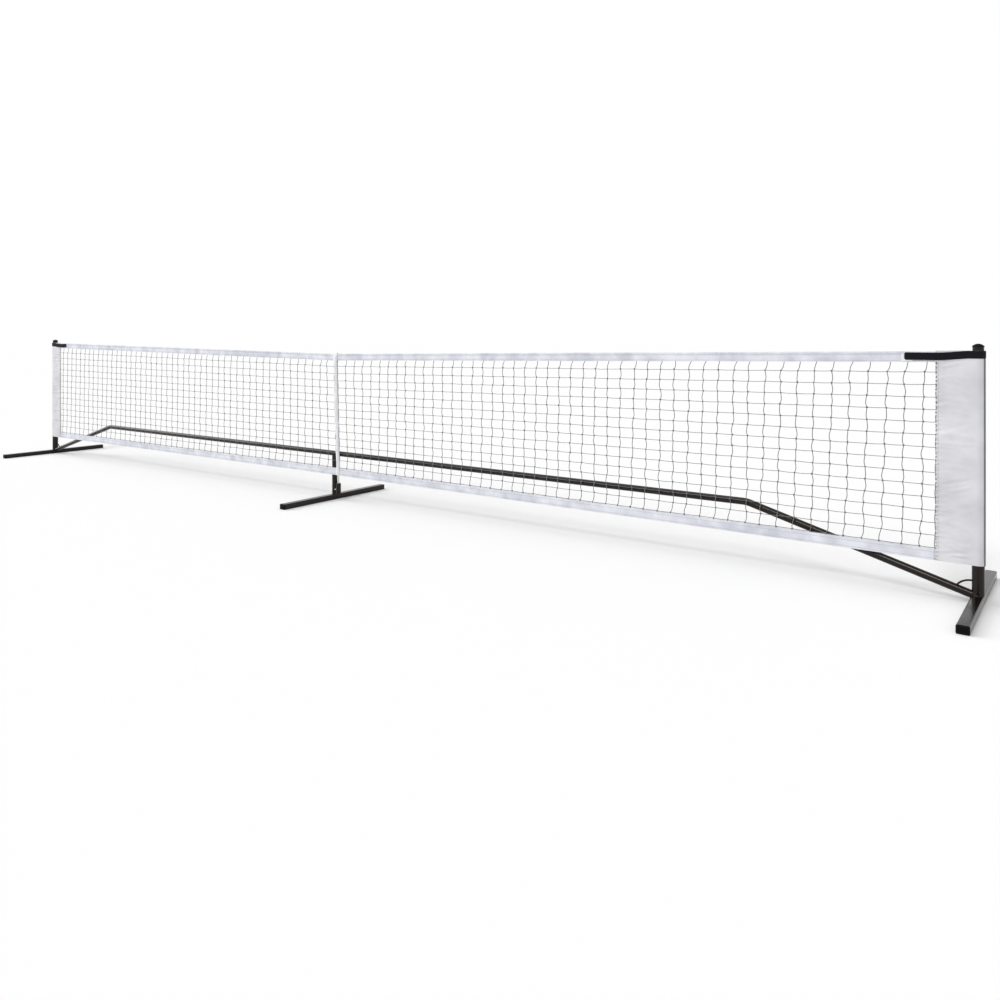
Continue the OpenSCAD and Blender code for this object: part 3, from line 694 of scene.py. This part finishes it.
netting = {
    "column": 0.066, "rows": 14.88, "lowPart": 0.08, "firstPart": 0.35, "steps": 5, "tuck": 0.003,
    "twine": 0.0015, "rowTwine": 0.0012, "knot": (0.0034, 0.0030, 0.0038), "knotTurn": 0.6,
    "knotSize": (0.85, 1.2), "groove": 0.16, "lean": 0.004, "allLean": 0.020,
    "endLean": (-0.007, 0.011), "offX": 0.0022, "offZ": 0.0011, "sway": 0.0006,
    "bow": 0.0046, "twist": 0.0007, "sag": 0.0014, "borderBow": 0.0012, "besideRod": 0.0135,
    "sleeveBorder": (0.0030, -0.0030), "pocketBorder": (0.0016, 0.0016),
}


def pocketSide(hand, z):
    return rodX(z) + hand * netting["besideRod"]


def knotPlaces(hand, chance):
    # knots[column][row], the columns counted from the sleeve towards the pocket
    middleZ = 0.5
    span = net["end"] - hand * pocketSide(hand, middleZ)
    columns = int(round(span / netting["column"]))
    rows = int(netting["rows"])
    knots = []
    for i in range(columns + 1):
        column = []
        lean = chance.uniform(-1, 1) * netting["lean"]
        for j in range(-1, rows + 2):
            v = min(1.0, max(0.0, (j + netting["lowPart"]) / netting["rows"]))
            x = hand * net["end"]
            share = (i - netting["firstPart"]) / (columns - netting["firstPart"]) if i else 0.0
            for _ in range(2):
                low, high = bottomEdge(x) + net["bottomBand"], topEdge(x) - net["topBand"]
                z = low + (high - low) * v
                x = hand * net["end"] + (pocketSide(hand, z) - hand * net["end"]) * share
            inside = 0 < i < columns
            if inside:
                x += lean * (v - 0.5) * 1.6 + chance.uniform(-netting["offX"], netting["offX"])
                x += netting["allLean"] * (v - 0.5) * min(1.0, i / 3, (columns - i) / 3)
            if inside and 0 < v < 1:
                z += chance.uniform(-netting["offZ"], netting["offZ"])
            y = net["y"] + (netting["sway"] * rough(x * 3.0, z * 3.0, 7.7) if inside else 0.0)
            if v in (0.0, 1.0):
                z += netting["tuck"] * (1 if v == 1.0 else -1)
            if inside and (v == 1.0 or v < 0.02):
                x += netting["endLean"][int(v)] * chance.uniform(0.6, 1.1)
            column.append(Vector((x, y, z)))
        knots.append(column)
    return knots


def strandPoints(ends, bows, alongUp):
    points = []
    steps = netting["steps"]
    for k in range(len(ends) - 1):
        a, b = ends[k], ends[k + 1]
        for s in range(steps):
            t = s / steps
            p = a.lerp(b, t)
            push = math.sin(math.pi * t) * bows[k]
            if alongUp:
                p.x += push + netting["twist"] * math.sin(math.tau * t) * (1 if bows[k] > 0 else -1)
            else:
                p.z -= push
            points.append(p)
    points.append(ends[-1])
    return points


def makeNetting(side, hand, seed):
    chance = random.Random(seed)
    knots = knotPlaces(hand, chance)
    curve = bpy.data.curves.new(side + "Netting", "CURVE")
    curve.dimensions = "3D"
    curve.bevel_depth = netting["twine"]
    curve.bevel_resolution = 1
    curve.use_fill_caps = True
    strands = []
    # a border strand leaves the sleeve's edge towards the bottom, and another runs beside the pocket
    for at, toNet, key in ((0, 1, "sleeveBorder"), (-1, -1, "pocketBorder")):
        column = knots[at]
        last = len(column) - 1
        offs = levels(*netting[key], last)
        border = [Vector((p.x - hand * toNet * off, p.y, p.z)) for p, off in zip(column, offs)]
        bows = [netting["borderBow"] * (-1) ** k for k in range(last)]
        strands.append(strandPoints(border, bows, True))
    for column in knots[1:-1]:
        bows = [chance.choice((-1, 1)) * chance.uniform(0.25, 1.0) * netting["bow"]
                for _ in range(len(column) - 1)]
        strands.append(strandPoints(column, bows, True))
    upright = len(strands)
    for j in range(1, len(knots[0]) - 1):
        line = [column[j] for column in knots]
        bows = [chance.uniform(0.2, 1.0) * netting["sag"] for _ in range(len(line) - 1)]
        strands.append(strandPoints(line, bows, False))
    for i, strand in enumerate(strands):
        spline = curve.splines.new("POLY")
        spline.points.add(len(strand) - 1)
        thickness = 1.0 if i < upright else netting["rowTwine"] / netting["twine"]
        for point, p in zip(spline.points, strand):
            point.co = (*p, 1.0)
            point.radius = thickness
    selectOnly(addObject(side + "Netting", curve))
    bpy.ops.object.convert(target="MESH")
    piece = bpy.context.object

    # one knot, copied to each crossing with a turn of its own
    knotMesh = bmesh.new()
    bmesh.ops.create_icosphere(knotMesh, subdivisions=2, radius=1.0)
    ball = [(v.co.x, v.co.y, v.co.z) for v in knotMesh.verts]
    skin = [[v.index for v in f.verts] for f in knotMesh.faces]
    knotMesh.free()
    build = bmesh.new()
    build.from_mesh(piece.data)
    for column in knots[1:-1]:
        for place in column[1:-1]:
            turn = chance.uniform(-netting["knotTurn"], netting["knotTurn"])
            grow = chance.uniform(*netting["knotSize"])
            made = []
            for bx, by, bz in ball:
                groove = 1.0 - netting["groove"] * math.cos(4.0 * math.atan2(bz, bx) + 1.5)
                x = bx * netting["knot"][0] * grow * groove
                z = bz * netting["knot"][2] * grow * groove
                made.append(build.verts.new((
                    place.x + x * math.cos(turn) - z * math.sin(turn),
                    place.y + by * netting["knot"][1] * grow,
                    place.z + x * math.sin(turn) + z * math.cos(turn))))
            for face in skin:
                build.faces.new([made[k] for k in face]).material_index = 1
    build.to_mesh(piece.data)
    build.free()
    dress(piece, materials["black_twine"], knotTwine)
    smoothAll(piece, 60)
    settle(piece, "black_twine", "net_mesh")


knotTwine = makeSimple("knotTwine", "knot")
makeNetting("left", -1, 11)
makeNetting("right", 1, 23)
print("netting made")


# cloth and straps wrapped round the end posts

post = {"corner": 0.135, "arcStep": 8.0}


def wrapPath(radius, half, frontReach, backReach):
    # points (x, y) about a right-hand post: from behind the net, round the post, to the front
    corner = post["corner"]
    front = (-corner, net["y"] - half)
    back = (-corner, net["y"] + half)

    def tangent(p, side):
        return math.atan2(p[1], p[0]) + side * math.acos(radius / math.hypot(*p))

    turnFrom = tangent(back, -1) + math.tau
    turnTo = tangent(front, 1)
    count = int(math.degrees(turnFrom - turnTo) / post["arcStep"])
    path = [(radius * math.cos(t), radius * math.sin(t)) for t in levels(turnFrom, turnTo, count)]
    share = (backReach + path[0][0]) / (corner + path[0][0])
    start = (-backReach, path[0][1] + (back[1] - path[0][1]) * share)
    path = [start] + path + [front]
    return path + [(-frontReach, front[1])] if frontReach > corner else path


def evenly(path, step):
    # the same path in near equal steps: (x, y, outward x, outward y, distance along)
    lengths = [0.0]
    for a, b in zip(path, path[1:]):
        lengths.append(lengths[-1] + math.hypot(b[0] - a[0], b[1] - a[1]))
    count = int(math.ceil(lengths[-1] / step))
    made, k = [], 0
    for s in levels(0.0, lengths[-1], count):
        while k < len(path) - 2 and s > lengths[k + 1]:
            k += 1
        t = (s - lengths[k]) / (lengths[k + 1] - lengths[k])
        made.append((path[k][0] + (path[k + 1][0] - path[k][0]) * t,
                     path[k][1] + (path[k + 1][1] - path[k][1]) * t, s))
    points = []
    for i, (x, y, s) in enumerate(made):
        a, b = made[max(0, i - 1)], made[min(count, i + 1)]
        run = math.hypot(b[0] - a[0], b[1] - a[1])
        points.append((x, y, -(b[1] - a[1]) / run, (b[0] - a[0]) / run, s))
    return points


def heightsOf(node):
    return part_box(node)[0].z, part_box(node)[1].z


def besidePost(hand, x, y, z):
    return (hand * (net["halfSpan"] + x), y, z)


sleeve = {
    "radius": 0.0225, "half": 0.0017, "cloth": 0.0009, "around": 0.0042, "up": 0.0046,
    "folds": 40, "amount": (0.0012, 0.0044), "width": (0.005, 0.012), "slope": 0.34,
    "middle": (0.0, 0.13), "reach": (0.03, 0.10), "onPost": (-0.040, -0.004),
    "seam": 0.008, "seamEnds": (0.004, 0.036), "hem": 0.012, "hemRise": 0.0005, "edgeWave": 0.0014,
    "pucker": 0.0032, "puckerStep": 0.0165, "puckerFade": 0.016,
}
lacing = {
    "ends": (0.006, 0.045), "step": 0.0122, "length": 0.0062, "radius": 0.00075, "lean": 0.45,
    "uneven": (0.8, 1.2), "inset": 0.003,
    "onBand": 5, "bandInset": 0.0045, "bandOut": 0.0026, "bandStep": 0.0078, "bandLength": 0.0066,
}


def sleeveFolds(chance, low, high):
    folds = []
    for _ in range(sleeve["folds"]):
        folds.append({
            "z": chance.uniform(low, high), "slope": chance.uniform(-sleeve["slope"], sleeve["slope"]),
            "amount": chance.choice((-1, 1, 1)) * chance.uniform(*sleeve["amount"]),
            "width": chance.uniform(*sleeve["width"]), "middle": chance.uniform(*sleeve["middle"]),
            "reach": chance.uniform(*sleeve["reach"]),
        })
    return folds


def sleevePuff(folds, near, z, layer):
    # how far the cloth stands off its plain shape, near its inner seam or out by the post
    puff = 0.0
    for fold in folds:
        u = (z - fold["z"] - fold["slope"] * (near - fold["middle"])) / fold["width"]
        if abs(u) > 3.0:
            continue
        fade = math.exp(-((near - fold["middle"]) / fold["reach"]) ** 2)
        puff += fold["amount"] * fade * (math.exp(-u * u) - 0.35 * math.exp(-(abs(u) - 1.5) ** 2 * 3))
    puff += 0.0005 * rough(near * 22, z * 26, 3.0 * layer) + 0.0002 * rough(near * 90, z * 90, 1.1)
    puff *= smooth(sleeve["seam"] * 0.6, sleeve["seam"] + 0.020, near)
    skewed = z + near * 0.9 * rough(0.2, z * 11, 2.0 * layer)
    drift = 1.6 * rough(0.4, z * 14, 6.0)
    wave = 1 - 2 * abs(math.sin(math.pi * skewed / sleeve["puckerStep"] + drift))
    amount = sleeve["pucker"] * (0.75 + 0.9 * rough(3.3, z * 20, 5.0))
    beyond = max(0.0, near - sleeve["seam"])
    return puff + layer * amount * wave * math.exp(-beyond / sleeve["puckerFade"])


def sleevePoint(hand, folds, section, total, i, z, low, high):
    x, y, outX, outY, s = section[i]
    inFront = s > total / 2
    near = min(s, total - s)
    onPost = smooth(*sleeve["onPost"], x)
    puff = sleevePuff(folds[inFront], near, z, 1 if inFront else -1)
    puff = puff * (1 - onPost) + max(-0.0001, min(0.00025, puff * 0.2)) * onPost
    puff *= 1 - 0.85 * smooth(high - 0.040, high - 0.030, z)
    hem = low + sleeve["hem"]
    puff += sleeve["hemRise"] * (1 - smooth(hem - 0.001, hem + 0.001, z))
    if near < sleeve["seam"]:
        y = net["y"] + (y - net["y"]) * (0.55 + 0.45 * smooth(0.0, sleeve["seam"], near))
        x += 0.0009 * rough(2.2, z * 55, 8.0) * (1 - near / sleeve["seam"])
    edge = sleeve["edgeWave"] * rough(s * 16, 3.0, 9.0 * hand)
    z += edge * (smooth(low + 0.02, low, z) - 0.4 * smooth(high - 0.02, high, z))
    return besidePost(hand, x + outX * puff, y + outY * puff, z)


def makeSleeve(side, hand, seed):
    chance = random.Random(seed)
    node = side + "_sleeve"
    low, high = heightsOf(node)
    folds = {True: sleeveFolds(chance, low, high), False: sleeveFolds(chance, low, high)}
    path = wrapPath(sleeve["radius"], sleeve["half"], post["corner"], post["corner"])
    section = evenly(path, sleeve["around"])
    total = section[-1][4]
    heights = levels(low, high, int((high - low) / sleeve["up"]))

    def onCloth(i, z):
        return sleevePoint(hand, folds, section, total, i, z, low, high)

    rows = [[(onCloth(i, z), (section[i][4], z)) for i in range(len(section))] for z in heights]
    piece = clothFromRows(side + "SleeveCloth", rows, sleeve["cloth"], "white_sleeve_cloth",
                          closed=True)
    settle(piece, "white_sleeve_cloth", node)

    # stitches: down the inner seam and along the bottom hem, on both layers
    lift = sleeve["cloth"] / 2
    for at, layer in ((len(section) - 3, -1), (2, 1)):
        line = [onCloth(at, z)
                for z in heights if low + sleeve["seamEnds"][0] < z < high - sleeve["seamEnds"][1]]
        path = [(p[0], p[1] + layer * lift, p[2]) for p in line]
        stitchesAlong(side + "Seam" + ("Front" if layer < 0 else "Back"), path,
                      [(0, layer, 0)] * len(path), "grey_binding")
    hem, outward = [], []
    for i in range(2, len(section) - 2):
        p = onCloth(i, low + sleeve["hem"])
        hem.append((p[0] + hand * section[i][2] * lift, p[1] + section[i][3] * lift, p[2]))
        outward.append((hand * section[i][2], section[i][3], 0))
    stitchesAlong(side + "HemStitches", hem, outward, "white_sleeve_cloth")

    # twine lacing: ties the netting and the bottom band's end to the sleeve's inner edge
    points, faces = [], []
    start, stop = low + lacing["ends"][0], high - lacing["ends"][1]
    z = start
    while z < stop:
        for at, layer in ((len(section) - 2, -1), (1, 1)):
            p = onCloth(at, z)
            along = Vector((1, 0, chance.uniform(-1, 1) * lacing["lean"])).normalized()
            out = layer * (lift + lacing["radius"] * 0.5)
            middle = (p[0] - hand * lacing["inset"], p[1] + out, p[2])
            addBead(points, faces, Vector(middle), along, Vector((0, layer, 0)),
                    lacing["length"] * chance.uniform(*lacing["uneven"]), lacing["radius"])
        z += lacing["step"] * chance.uniform(*lacing["uneven"])
    for i in range(lacing["onBand"]):
        for layer in (-1, 1):
            middle = besidePost(hand, -post["corner"] - lacing["bandInset"],
                                net["y"] + layer * lacing["bandOut"], start + i * lacing["bandStep"])
            addBead(points, faces, Vector(middle), Vector((0.12, 0, 1)).normalized(),
                    Vector((0, layer, 0)), lacing["bandLength"], lacing["radius"])
    threadPiece(side + "EdgeLacing", points, faces, "black_twine")


# the binding lies on the front of the sleeve's outer edge; it is a real strip, dark so that it also
# paints the shade of that edge
binding = {
    "radius": 0.02372, "from": -8.0, "to": -33.0, "wander": 1.2, "crown": 0.00012, "ripple": 0.0001,
    "cloth": 0.0012, "across": 8, "up": 0.006,
}


def makeBinding(side, hand):
    node = side + "_sleeve_binding"
    low, high = heightsOf(node)
    turns = levels(binding["from"], binding["to"], binding["across"])
    rows = []
    for z in levels(low, high, int((high - low) / binding["up"])):
        row = []
        for k, degrees in enumerate(turns):
            turn = math.radians(degrees + binding["wander"] * rough(0.3, z * 9, 4.0))
            crown = binding["crown"] * math.sin(math.pi * k / binding["across"])
            r = binding["radius"] + (crown + binding["ripple"] * rough(k * 0.7, z * 60, 2.0))
            row.append((besidePost(hand, r * math.cos(turn), r * math.sin(turn), z), (k * 0.0018, z)))
        rows.append(row)
    piece = clothFromRows(side + "Binding", rows, binding["cloth"], "grey_binding")
    settle(piece, "grey_binding", node)


strap = {
    "radius": 0.0239, "half": 0.0060, "front": 0.240, "back": 0.095, "cloth": 0.0019,
    "around": 0.004, "corner": 0.0056, "drop": 0.0075, "dropReach": (0.015, 0.130), "across": 8,
    "ripple": 0.0004, "cup": 0.0003,
}


def makeStrap(side, hand):
    node = side + "_strap"
    low, high = heightsOf(node)
    path = wrapPath(strap["radius"], strap["half"], strap["front"], strap["back"])
    section = evenly(path, strap["around"])
    total = section[-1][4]
    rows = []
    for x, y, outX, outY, s in section:
        toTip = total - s
        inset = 0.0
        if toTip < strap["corner"]:
            inset = strap["corner"] - math.sqrt(strap["corner"] ** 2 - (strap["corner"] - toTip) ** 2)
        drop = strap["drop"] * smooth(*strap["dropReach"], -x) if s > total / 2 else 0.0
        row = []
        for k in range(strap["across"] + 1):
            v = k / strap["across"]
            z = low + inset + (high - low - 2 * inset) * v - drop
            puff = strap["ripple"] * rough(s * 30, v * 2.0, 5.0 * hand)
            puff -= strap["cup"] * (2 * v - 1) ** 2
            row.append((besidePost(hand, x + outX * puff, y + outY * puff, z), (s, z)))
        rows.append(row)
    piece = clothFromRows(side + "StrapWebbing", rows, strap["cloth"], "hook_and_loop")
    settle(piece, "hook_and_loop", node)


patch = {
    "inner": 0.212, "outer": 0.2515, "y": 0.0034, "cloth": 0.0008, "margin": 0.003,
    "lowMargin": 0.002, "ripple": 0.0003, "along": 8, "up": 7,
}


def makePatch(side, hand):
    # the sewn loop patch on the band that the strap's tip holds on to
    rows = []
    for x in levels(-patch["inner"], -patch["outer"], patch["along"]):
        edge = topEdge(net["halfSpan"] + x)
        top, low = edge - patch["margin"], edge - net["topBand"] + patch["lowMargin"]
        row = []
        for z in levels(low, top, patch["up"]):
            puff = patch["ripple"] * rough(x * 60, z * 60, hand)
            row.append((besidePost(hand, x, net["y"] - patch["y"] - puff, z), (x, z)))
        rows.append(row)
    piece = clothFromRows(side + "LoopPatch", rows, patch["cloth"], "white_tape")
    settle(piece, "white_tape")
    dress(piece, brightCloth)


brightCloth = makeCloth("brightCloth", "patch", thread=0.0014, sheen=0.3)
for side, hand, seed in (("left", -1, 5), ("right", 1, 9)):
    makeSleeve(side, hand, seed)
    makeBinding(side, hand)
    makeStrap(side, hand)
    makePatch(side, hand)
print("sleeves, bindings and straps made")


# cloth round the centre rod: the pocket, its tail over the bottom band and the loop at the top

pocket = {
    "radius": 0.0078, "halfWidth": 0.0145, "flange": 0.0010, "cloth": 0.0007, "across": 26,
    "up": 0.0040, "crumple": 0.0033, "sideways": 0.0040, "flat": 0.03,
    "seams": ((0.07, "Left"), (0.93, "Right")), "seamStep": 0.0045, "seamEnd": 0.002,
}


def tubeBulge(offset, radius, flange, width):
    # half thickness across a pocket: round over the rod, flat at its sewn edges
    if abs(offset) < radius * 0.75:
        return math.sqrt(radius * radius - offset * offset)
    start = radius * math.sqrt(1 - 0.75 ** 2)
    share = smooth(radius * 0.75, width * 0.86, abs(offset))
    return start + (flange - start) * share


def crumple(x, z, seed):
    ridged = 1 - 2.4 * abs(rough(x * 55 + 14 * z, z * 30, seed))
    crossing = 1 - 2.4 * abs(rough(x * 60 - 18 * z, z * 42, seed + 8.0))
    return 0.45 * ridged + 0.30 * crossing + 0.25 * rough(x * 150, z * 90, seed + 4.0)


def pocketPoint(share, front, z):
    offset = (2 * share - 1) * pocket["halfWidth"]
    bulge = tubeBulge(offset, pocket["radius"], pocket["flange"], pocket["halfWidth"])
    edge = 1 - smooth(0.72, 1.0, abs(2 * share - 1))
    bulge += pocket["crumple"] * crumple(offset, z, 2.0 if front else 9.0) * (0.25 + 0.75 * edge)
    sideways = pocket["sideways"] * rough(1.5, z * 30, 3.0 if share > 0.5 else 7.0) * (1 - edge)
    return (rodX(z) + offset + sideways, net["y"] + (-bulge if front else bulge), z)


# the pocket's stitch lines run along its flat edges: real stitching, darker to also paint the shade
# there
pocketCloth = makeCloth("pocketCloth", "patch", thread=0.0014, sheen=0.3, stitches=(0.0020, 0.0280))


def makePocket():
    lowZ, highZ = heightsOf("rod_pocket")
    count = int((highZ - lowZ) / pocket["up"])
    across, flat = pocket["across"], pocket["flat"]
    rows = []
    for z in levels(lowZ, highZ, count):
        row = [(pocketPoint(k / across, True, z), (z, flat * k / across)) for k in range(across + 1)]
        row += [(pocketPoint(k / across, False, z), (z, 0.10 - flat * k / across))
                for k in range(across, -1, -1)]
        rows.append(row)
    piece = clothFromRows("rodPocket", rows, pocket["cloth"], "white_tape", closed=True)
    dress(piece, pocketCloth)
    settle(piece, "white_tape", "rod_pocket")
    lift = pocket["cloth"] / 2 + 0.0002
    end = pocket["seamEnd"]
    # dark stitches down the pocket's edges: real stitching that also paints the shade of its flat
    # edges
    for share, label in pocket["seams"]:
        line = [pocketPoint(share, True, lowZ + end + pocket["seamStep"] * i) for i in range(count)]
        line = [(x, y - lift, z) for x, y, z in line if z < highZ - end]
        stitchesAlong("pocketStitches" + label, line, [(0, -1, 0)] * len(line), "grey_binding")


tail = {
    "low": 0.001, "over": 0.003, "up": 12, "loose": 0.0006, "flange": 0.0021, "lift": 0.0009,
    "crumple": 0.7,
}


def makeTail():
    # the pocket's front layer goes on over the bottom band
    lowZ = net["bottomCentre"] + tail["low"]
    highZ = net["bottomCentre"] + net["bottomBand"] + tail["over"]
    across = pocket["across"]
    rows = []
    for z in levels(lowZ, highZ, tail["up"]):
        row = []
        for k in range(across + 1):
            offset = (2 * k / across - 1) * pocket["halfWidth"]
            bulge = tubeBulge(offset, pocket["radius"] + tail["loose"], tail["flange"],
                              pocket["halfWidth"])
            creases = max(0.0, crumple(offset, z, 5.0))
            bulge += tail["lift"] + tail["crumple"] * pocket["crumple"] * creases
            row.append(((rodX(z) + offset, net["y"] - bulge, z), (z, pocket["flat"] * k / across)))
        rows.append(row)
    piece = clothFromRows("pocketTail", rows, pocket["cloth"], "white_tape")
    dress(piece, pocketCloth)
    settle(piece, "white_tape")


loop = {
    "front": 0.072, "back": 0.050, "half": 0.0150, "crown": 0.0035, "cloth": 0.0011, "off": 0.0012,
    "across": 16, "frontRows": 14, "backRows": 10, "arcStep": 15, "rodRadius": 0.0094,
    "flange": 0.0040, "ripple": 0.0004, "pinch": 0.92, "spread": 0.26,
}


def makeCentreLoop():
    # webbing over the top hem, down both faces and sewn to the pocket
    top = topEdge(0.03)
    hem = top - band["hemDepth"]
    outer = band["hemRadius"] + loop["off"]
    line = []
    for i in range(loop["frontRows"] + 1):
        drop = loop["front"] - band["hemDepth"]
        line.append((-1, outer, top - loop["front"] + drop * i / loop["frontRows"]))
    for a in range(loop["arcStep"], 180, loop["arcStep"]):
        turn = math.radians(a)
        line.append((-math.cos(turn), outer, hem + (outer + loop["crown"]) * math.sin(turn)))
    for i in range(loop["backRows"] + 1):
        drop = loop["back"] - band["hemDepth"]
        line.append((1, outer, hem - drop * i / loop["backRows"]))
    across = loop["across"]
    half = loop["half"]
    rows = []
    for i, (side, reach, z) in enumerate(line):
        row = []
        for k in range(across + 1):
            offset = (2 * k / across - 1) * half
            y = abs(side) * reach
            if z < hem:
                bulge = tubeBulge(offset, loop["rodRadius"], loop["flange"], half * 1.1)
                y = max(y, bulge * smooth(hem, hem - 0.012, z))
            y += loop["ripple"] * rough(offset * 80, z * 60, 6.0)
            pinch = loop["pinch"] + loop["spread"] * smooth(top - 0.030, top, z)
            x = rodX(z) + offset * pinch
            row.append(((x, net["y"] + (y if side > 0 else -y), z), (x, i * 0.005)))
        rows.append(row)
    piece = clothFromRows("centreLoop", rows, loop["cloth"], "white_tape")
    settle(piece, "white_tape")
    dress(piece, brightCloth)


makePocket()
makeTail()
makeCentreLoop()
print("pocket and centre loop made")
